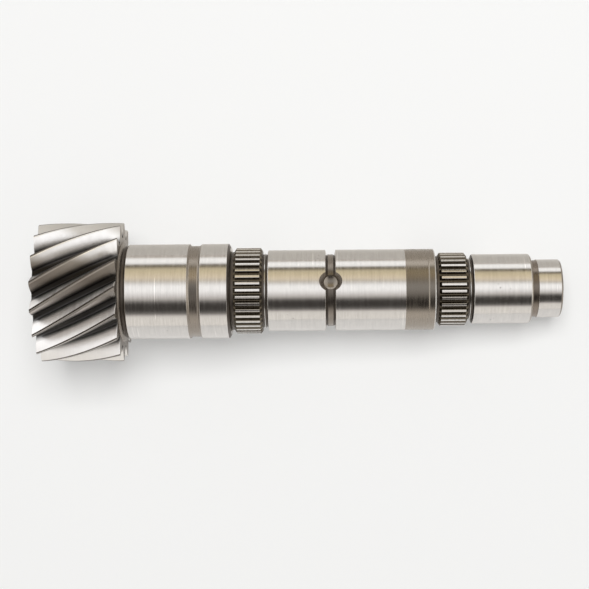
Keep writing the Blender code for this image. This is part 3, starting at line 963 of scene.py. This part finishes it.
def pinion_half_tooth():
    """Tip land, rounded chamfer, involute flank and root fillet of half a tooth, from the tip down."""
    p = sizes("pinion")
    pitch = pitch_radius()
    pressure = math.atan(math.tan(p.pressure) / math.cos(p.helix))
    base = pitch * math.cos(pressure)
    tip, root = pitch + p.addendum, pitch - p.dedendum
    at_pitch = (math.pi * p.module / math.cos(p.helix) / 2 + p.thickening) / (2 * pitch)

    def half_angle(radius):
        return at_pitch + involute(pressure) - involute(math.acos(min(1.0, base / radius)))

    land = half_angle(tip) - p.tip_round / tip
    points = [(tip, 0.0), (tip, land - p.edge_strip / tip), (tip, land)]
    shoulder = half_angle(tip - p.tip_round)
    for step in range(1, ROUND_STEPS):
        bend = step / ROUND_STEPS * math.pi / 2
        across = math.sin(bend)
        points.append((tip - p.tip_round * (1 - math.cos(bend)), land + (shoulder - land) * across))
    flank_top, flank_foot = tip - p.tip_round, max(base, root + p.root_fillet)
    for step in range(FLANK_STEPS + 1):
        radius = flank_top + (flank_foot - flank_top) * step / FLANK_STEPS
        points.append((radius, half_angle(radius)))
    foot_angle = half_angle(flank_foot)
    for step in range(1, ROUND_STEPS + 2):
        bend = step / (ROUND_STEPS + 1) * math.pi / 2
        radius = root + p.root_fillet * (1 - math.sin(bend))
        points.append((radius, foot_angle + p.root_fillet * (1 - math.cos(bend)) / root))
    return points


def centre_cutter(materials):
    """Lathe centre in the pinion's end face."""
    h = sizes("hole")
    cone, point = lathe_centre()
    bm = turned(
        [
            (0.0, -CUTTER_OVERRUN, 0),
            (h.centre_mouth + CUTTER_OVERRUN * math.tan(h.centre_angle / 2), -CUTTER_OVERRUN, 0),
            (h.centre_pilot, cone, 0),
            (h.centre_pilot, h.centre_depth, 0),
            (0.0, h.centre_depth + point, 0),
        ],
        DRILL_STEPS,
    )
    for face in bm.faces:
        face.material_index = TURNED
    return finish_mesh(bm, "centre_cutter", materials)


def finish_pinion(bm, straight, twist):
    """Give each face of the pinion the finish of its place on its tooth."""
    p = sizes("pinion")
    tip = pitch_radius() + p.addendum
    strip = pinion_half_tooth()[1][1]
    for face in bm.faces:
        centre = face.calc_center_median()
        turned_by = twist * (centre.z - p.end_chamfer) / straight
        place = (math.atan2(centre.y, centre.x) - p.azimuth - turned_by) / (math.tau / p.teeth)
        angle = (place - round(place)) * math.tau / p.teeth
        if abs(face.normal.z) > END_FACE:
            face.material_index = TURNED
        elif centre.xy.length < tip - p.tip_round * FLANK_BELOW:
            face.material_index = LOWER_FLANK if angle > 0 else UPPER_FLANK
        elif centre.xy.length < tip - p.tip_round * ROUND_BELOW:
            face.material_index = LOWER_ROUND if angle > 0 else UPPER_ROUND
        else:
            face.material_index = EDGE if angle < -strip else LAND


class OUTPUTSHAFT_OT_pinion(bpy.types.Operator):
    """Extrude the pinion's outline along the helix and chamfer its tooth ends."""

    bl_idname = "output_shaft.pinion"
    bl_label = "Helical pinion"

    def execute(self, context):
        p = sizes("pinion")
        outline = ring_outline(pinion_half_tooth(), p.teeth, p.azimuth)
        straight = p.width - 2 * p.end_chamfer
        twist = -straight * math.tan(p.helix) / pitch_radius()
        bm = bmesh.new()
        foot = bm.faces.new([bm.verts.new((x, y, p.end_chamfer)) for x, y in outline])
        cap = extrude_stack(bm, foot, [(straight / HELIX_STEPS, twist / HELIX_STEPS)] * HELIX_STEPS)
        bmesh.ops.recalc_face_normals(bm, faces=bm.faces)
        bmesh.ops.inset_region(
            bm,
            faces=[foot, cap],
            thickness=p.end_chamfer,
            depth=p.end_chamfer,
            use_boundary=True,
            use_even_offset=True,
        )
        finish_pinion(bm, straight, twist)
        materials = [
            # The flank and tip-rounding steels carry painted light and shade by azimuth and by depth
            flank_steel("ground_flank_steel_lower_side", LOWER_FLANK_TINT_AND_SHADE),
            turned_steel(),
            land_steel(),
            edge_steel(),
            flank_steel("shaded_tip_steel_upper_side", UPPER_ROUND_TINT_AND_SHADE),
            flank_steel("shaded_tip_steel_lower_side", LOWER_ROUND_TINT_AND_SHADE),
            flank_steel("ground_flank_steel_upper_side", UPPER_FLANK_TINT_AND_SHADE),
        ]
        pinion = finish_mesh(bm, "helical_pinion", materials)
        cut(pinion, centre_cutter(materials))
        dress(pinion, "output_shaft")
        return {"FINISHED"}


# Spline bands

# Middle point of a tooth's rounded corner, as shares of the rounding: along the radius, across it
CORNER_DEEP = 0.3
CORNER_WIDE = 0.25


def spline_half_tooth(teeth):
    """Tip land, flank and rounded corners of half a spline tooth, from the tip down."""
    s = sizes("spline")
    pitch = s.module * teeth / 2

    def half_angle(height):
        return (math.pi * s.module / 4 - height * math.tan(s.flank)) / (pitch + height)

    tip, root = pitch + s.addendum, pitch - s.dedendum
    tip_angle, root_angle = half_angle(s.addendum), half_angle(-s.dedendum)
    return [
        (tip, 0.0),
        (tip, tip_angle - s.tip_round / tip),
        (tip - s.tip_round * CORNER_DEEP, tip_angle - s.tip_round * CORNER_WIDE / tip),
        (tip - s.tip_round, half_angle(s.addendum - s.tip_round)),
        (root + s.root_round, half_angle(s.root_round - s.dedendum)),
        (root + s.root_round * CORNER_DEEP, root_angle + s.root_round * CORNER_WIDE / root),
        (root, root_angle + s.root_round / root),
    ]


def spline_band(name, teeth, foot_height, band_length, azimuth, materials):
    """Straight spline band whose teeth are bevelled down to the root at both ends."""
    s = sizes("spline")
    bm = bmesh.new()
    outline = ring_outline(spline_half_tooth(teeth), teeth, azimuth)
    foot = bm.faces.new([bm.verts.new((x, y, foot_height)) for x, y in outline])
    full = band_length - 2 * s.end_bevel
    top = extrude_stack(bm, foot, [(s.end_bevel, 0.0), (full, 0.0), (s.end_bevel, 0.0)])
    root = spline_root(teeth)
    for end in (foot, top):
        for vert in end.verts:
            vert.co.xy = vert.co.xy * min(1.0, root / vert.co.xy.length)
    tip = root + s.addendum + s.dedendum
    for face in bm.faces:
        face.material_index = int(face.calc_center_median().xy.length < tip - s.tip_round)
    band = finish_mesh(bm, name, materials)
    dress(band, "output_shaft")


class OUTPUTSHAFT_OT_splines(bpy.types.Operator):
    """Extrude the two spline bands."""

    bl_idname = "output_shaft.splines"
    bl_label = "Spline bands"

    def execute(self, context):
        s, z = sizes("spline"), stations()
        materials = [ground_steel(), spline_steel()]
        for name in ("lower", "upper"):
            teeth, band_length, azimuth = (
                getattr(s, name + "_" + value) for value in ("teeth", "length", "azimuth")
            )
            spline_band(name + "_spline", teeth, z[name + "_foot"], band_length, azimuth, materials)
        return {"FINISHED"}


# Studio

# Room that the shaft mirrors, each wall as (azimuth from the camera's side towards +X in degrees,
# colour, strength). Across the shaft, from above the picture to below it: the far edge of the
# table, a white card, a dark gap, a beige wall, the ceiling light, a dark doorway and a pale wall.
ACROSS = [
    (-96, "#D3CAC0", 1.0),
    (-91, "#D3CAC0", 1.0),
    (-87, "#FFFEFD", 1.45),
    (-72, "#FFFEFD", 1.45),
    (-68, "#7C7160", 1.0),
    (-62, "#7C7160", 1.0),
    (-57, "#E6D8B6", 1.0),
    (-48, "#F2E2BE", 1.0),
    (-33, "#FFEED3", 1.05),
    (-26, "#E8DECD", 1.0),
    (-21, "#F9F5F1", 1.0),
    (-13, "#FFFEFE", 1.42),
    (-1, "#FFFEFE", 1.42),
    (9, "#FFFBFA", 1.08),
    (18, "#DAD5D0", 1.0),
    (25, "#7A7572", 1.0),
    (31, "#45413E", 1.0),
    (45, "#413D3A", 1.0),
    (52, "#64625F", 1.0),
    (57, "#908A86", 1.0),
    (60, "#DED8D4", 1.0),
    (64, "#FFFAF4", 1.03),
    (90, "#FFFAF4", 1.08),
]
# Past the nose and past the pinion stand two more cards, which the leaning tooth flanks mirror.
PAST_NOSE = [
    (-90, "#F0ECE4", 1.0),
    (-50, "#FFFCF6", 1.25),
    (-20, "#FFFEFC", 1.6),
    (0, "#FFFEFC", 1.7),
    (45, "#FFFCF6", 1.5),
    (62, "#F0E4D2", 1.0),
    (80, "#8C8274", 1.0),
    (96, "#4A443C", 1.0),
    (120, "#3A342E", 1.0),
    (170, "#6A6258", 1.0),
]
PAST_PINION = [
    (-150, "#E6E0D8", 1.0),
    (-110, "#FFFEFC", 1.35),
    (-80, "#FFFEFC", 1.5),
    (-30, "#FFFEFC", 1.5),
    (10, "#FFFEFC", 1.3),
    (35, "#F6F2EC", 1.1),
    (90, "#F6F2EC", 1.1),
    (150, "#D6D2CC", 0.9),
]
# Rise of a mirrored direction along the axis over which the end cards take over from the room
END_CARD = (0.35, 0.5)

# Table in metres: half its size, and how far its middle stands below the shaft in the picture
TABLE_HALF_SIZE = (0.9, 1.0, 1.2)
TABLE_DROP = 0.56
# Half of the stretch over which the mirrored table's painted light goes from its darker far tone to its
# brighter near one
MIRRORED_HALF = 40 * MM

# Softbox in metres: its size and place. It looks at the shaft's middle.
SOFTBOX_SIZE = (1.04, 0.9)
SOFTBOX_PLACE = (-0.54, -1.75, 0.11)

# Picture: its size in picture elements, and its middle, that many along the axis and across it
IMAGE_SIZE = 589
MIDDLE_ALONG = 252.57
MIDDLE_ACROSS = 4.04
SENSOR_WIDTH = 36.0
CLIP_START = 0.01


def world(settings):
    """Pale room whose walls the steel mirrors. Matt things get even light, the camera a plain colour."""
    room = bpy.data.worlds.new("studio_room")
    room.use_nodes = True
    bpy.context.scene.world = room
    tree = room.node_tree
    tree.nodes.clear()
    direction = add_node(tree, "TexCoord").outputs["Generated"]
    rise = add_node(tree, "SeparateXYZ", {0: direction}).outputs[2]
    share = around(tree, direction)
    walls = turn_ramp(tree, share, ACROSS)
    start, full = END_CARD
    for side, cards in ((1, PAST_NOSE), (-1, PAST_PINION)):
        limits = span(side * start, side * full, 0.0, 1.0)
        reach = add_node(tree, "MapRange", {"Value": rise, **limits}).outputs[0]
        sockets = {0: reach, 6: walls, 7: turn_ramp(tree, share, cards)}
        walls = add_node(tree, "Mix", sockets, data_type="RGBA").outputs[2]
    path = add_node(tree, "LightPath")
    seen = add_node(tree, "Background", {"Color": walls, "Strength": 1.0})
    even = add_node(tree, "Background", {"Strength": settings.even_light})
    plain = add_node(tree, "Background", {"Color": (*settings.beyond, 1.0), "Strength": 1.0})
    for ray, light in (("Is Diffuse Ray", even), ("Is Camera Ray", plain)):
        seen = add_node(tree, "MixShader", {0: path.outputs[ray], 1: seen.outputs[0], 2: light.outputs[0]})
    add_node(tree, "OutputWorld", {0: seen.outputs[0]})


def paper(settings):
    """Matt uncoated paper: even and pale, with a soft shadow and no shine.

    To the camera and in reflections it is partly plain colour, which keeps the shadow faint. In
    reflections its tone is painted light and shade: darker above the shaft, brighter below it. From
    behind it is clear, so that it hides nothing.
    """
    material = bpy.data.materials.new("matt_uncoated_paper")
    material.use_nodes = True
    tree = material.node_tree
    tree.nodes.clear()
    path = add_node(tree, "LightPath")
    place = add_node(tree, "TexCoord").outputs["Object"]
    # Painted light and shade: the table's tone in reflections, darker above the shaft and brighter below it
    below = add_node(tree, "SeparateXYZ", {0: place}).outputs[0]
    limits = span(-MIRRORED_HALF, MIRRORED_HALF, 0.0, 1.0)
    near = add_node(tree, "MapRange", {"Value": below, **limits}).outputs[0]
    sockets = {0: near, 6: (*settings.mirrored_far, 1.0), 7: (*settings.mirrored_near, 1.0)}
    mirrored = add_node(tree, "Mix", sockets, data_type="RGBA").outputs[2]
    sockets = {0: path.outputs["Is Glossy Ray"], 6: (*settings.table, 1.0), 7: mirrored}
    tone = add_node(tree, "Mix", sockets, data_type="RGBA").outputs[2]
    lit = add_node(tree, "BsdfDiffuse", {"Color": tone})
    plain = add_node(tree, "Emission", {"Color": tone, "Strength": 1.0})
    limits = span(0.0, 1.0, settings.shadow_fade, 0.0)
    faded = add_node(tree, "MapRange", {"Value": path.outputs["Is Diffuse Ray"], **limits}).outputs[0]
    front = add_node(tree, "MixShader", {0: faded, 1: lit.outputs[0], 2: plain.outputs[0]})
    clear = add_node(tree, "BsdfTransparent")
    behind = add_node(tree, "NewGeometry").outputs["Backfacing"]
    mixed = add_node(tree, "MixShader", {0: behind, 1: front.outputs[0], 2: clear.outputs[0]})
    add_node(tree, "OutputMaterial", {0: mixed.outputs[0]})
    return material


def table(settings):
    """Pale table that the shaft lies on in the picture, seen only from the side that it lies on.

    It touches the pinion's rim and the upper journal's edge, so the shaft's shadow narrows towards
    the nose.
    """
    b, z = sizes("blank"), stations()
    rim, edge = z["pinion_top"], z["neck_foot"] - b.neck_break
    lean = math.atan2(CAD_HIGH.y - b.upper_radius, edge - rim)
    bm = bmesh.new()
    bmesh.ops.create_grid(bm, x_segments=1, y_segments=1, size=1.0)
    bmesh.ops.rotate(bm, verts=bm.verts, matrix=Matrix.Rotation(math.radians(90.0), 3, "X"))
    bmesh.ops.scale(bm, verts=bm.verts, vec=TABLE_HALF_SIZE)
    bmesh.ops.rotate(bm, verts=bm.verts, matrix=Matrix.Rotation(lean, 3, "X"))
    bmesh.ops.translate(bm, verts=bm.verts, vec=(TABLE_DROP, CAD_HIGH.y, rim))
    mesh = bpy.data.meshes.new("table")
    bm.to_mesh(mesh)
    bm.free()
    mesh.materials.append(paper(settings))
    item = bpy.data.objects.new("table", mesh)
    bpy.context.scene.collection.objects.link(item)


def softbox(settings):
    """Large soft lamp above the picture, which throws the faint shadow below the shaft."""
    lamp = bpy.data.lights.new("softbox", "AREA")
    lamp.shape = "RECTANGLE"
    lamp.size, lamp.size_y = SOFTBOX_SIZE
    lamp.energy = settings.lamp_power
    item = bpy.data.objects.new("softbox", lamp)
    item.location = SOFTBOX_PLACE
    aim = item.location - Vector((0.0, 0.0, SOFTBOX_PLACE[2]))
    item.rotation_euler = aim.to_track_quat("Z", "X").to_euler()
    item.visible_glossy = False
    bpy.context.scene.collection.objects.link(item)


def camera(settings):
    """Camera that looks along +Y with its right side up the shaft."""
    data = bpy.data.cameras.new("camera")
    data.sensor_width = SENSOR_WIDTH
    data.lens = SENSOR_WIDTH * settings.distance / IMAGE_SIZE
    data.clip_start = CLIP_START
    item = bpy.data.objects.new("camera", data)
    back = Vector((0.0, -math.cos(settings.tilt), math.sin(settings.tilt)))
    right = Vector((0.0, math.sin(settings.tilt), math.cos(settings.tilt)))
    up = Vector((-1.0, 0.0, 0.0))
    rolled_right = right * math.cos(settings.roll) - up * math.sin(settings.roll)
    rolled_up = up * math.cos(settings.roll) + right * math.sin(settings.roll)
    on_axis = Vector((0.0, 0.0, MIDDLE_ALONG * settings.pixel))
    target = on_axis - rolled_up * (MIDDLE_ACROSS * settings.pixel)
    matrix = Matrix.Identity(4)
    for column, vector in enumerate((rolled_right, rolled_up, back)):
        matrix.col[column][:3] = vector
    matrix.translation = target + back * settings.distance * settings.pixel
    item.matrix_world = matrix
    bpy.context.scene.collection.objects.link(item)
    bpy.context.scene.camera = item


class OUTPUTSHAFT_OT_stage(bpy.types.Operator):
    """Lay the table, light the studio and place the camera."""

    bl_idname = "output_shaft.stage"
    bl_label = "Studio"

    def execute(self, context):
        settings = sizes("studio")
        world(settings)
        table(settings)
        softbox(settings)
        camera(settings)
        context.scene.view_settings.view_transform = "Standard"
        return {"FINISHED"}


class OUTPUTSHAFT_PT_panel(bpy.types.Panel):
    """Steps that build the shaft, in their order."""

    bl_label = "Output shaft"
    bl_idname = "OUTPUTSHAFT_PT_panel"
    bl_space_type = "VIEW_3D"
    bl_region_type = "UI"
    bl_category = "Output shaft"

    def draw(self, context):
        for operator in OPERATORS:
            self.layout.operator(operator.bl_idname)
        for group in GROUPS:
            column = self.layout.column(heading=group)
            settings = sizes(group)
            for name in settings.bl_rna.properties.keys():
                if name not in ("rna_type", "name"):
                    column.prop(settings, name)


GROUPS = {
    "pinion": PinionSizes,
    "blank": BlankSizes,
    "spline": SplineSizes,
    "hole": HoleSizes,
    "steel": SteelColours,
    "studio": StudioSettings,
}
OPERATORS = (OUTPUTSHAFT_OT_blank, OUTPUTSHAFT_OT_pinion, OUTPUTSHAFT_OT_splines, OUTPUTSHAFT_OT_stage)


def register():
    for kind in (*GROUPS.values(), *OPERATORS, OUTPUTSHAFT_PT_panel):
        bpy.utils.register_class(kind)
    for name, kind in GROUPS.items():
        setattr(bpy.types.Scene, "output_shaft_" + name, bpy.props.PointerProperty(type=kind))


def unregister():
    for name in GROUPS:
        delattr(bpy.types.Scene, "output_shaft_" + name)
    for kind in reversed((*GROUPS.values(), *OPERATORS, OUTPUTSHAFT_PT_panel)):
        bpy.utils.unregister_class(kind)


def main():
    register()
    bpy.ops.output_shaft.blank()
    bpy.ops.output_shaft.pinion()
    bpy.ops.output_shaft.splines()
    bpy.ops.output_shaft.stage()


if __name__ == "__main__":
    main()
